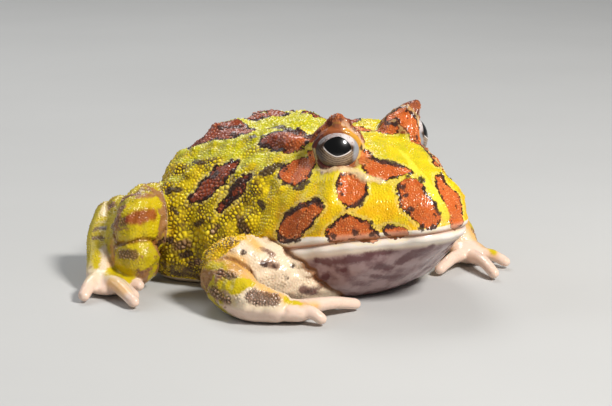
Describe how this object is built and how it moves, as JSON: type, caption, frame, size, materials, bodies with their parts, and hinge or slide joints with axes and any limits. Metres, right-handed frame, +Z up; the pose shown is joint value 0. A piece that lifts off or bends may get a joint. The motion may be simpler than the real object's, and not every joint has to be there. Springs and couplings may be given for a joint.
{
  "type": "argentine horned frog",
  "caption": "Life-size horned frog, crouched on its belly with spread arms, a wide closed mouth and pointed flaps over the eyes.",
  "frame": {"origin": "on the floor at the middle of the belly's flat resting area, on the midline", "axes": "+Z up, -Y the way the frog faces, +X its left side"},
  "size_m": [0.1315, 0.0975, 0.0493],
  "materials": {
    "skin": "moist granular skin, yellow-green with brick-red blotches and pale underparts",
    "eye": "wet glossy cornea over a bronze and silver iris with a black pupil"
  },
  "bodies": {
    "root": {"torso": "skin", "head": "skin", "lower_jaw": "skin", "eyelid_horn_right": "skin", "eyelid_horn_left": "skin", "upper_arm_right": "skin", "upper_arm_left": "skin", "forearm_right": "skin", "forearm_left": "skin", "hand_right": "skin", "hand_left": "skin", "thigh_right": "skin", "thigh_left": "skin", "shank_right": "skin", "shank_left": "skin", "foot_right": "skin", "foot_left": "skin", "eye_right": "eye", "eye_left": "eye"}
  },
  "joints": []
}
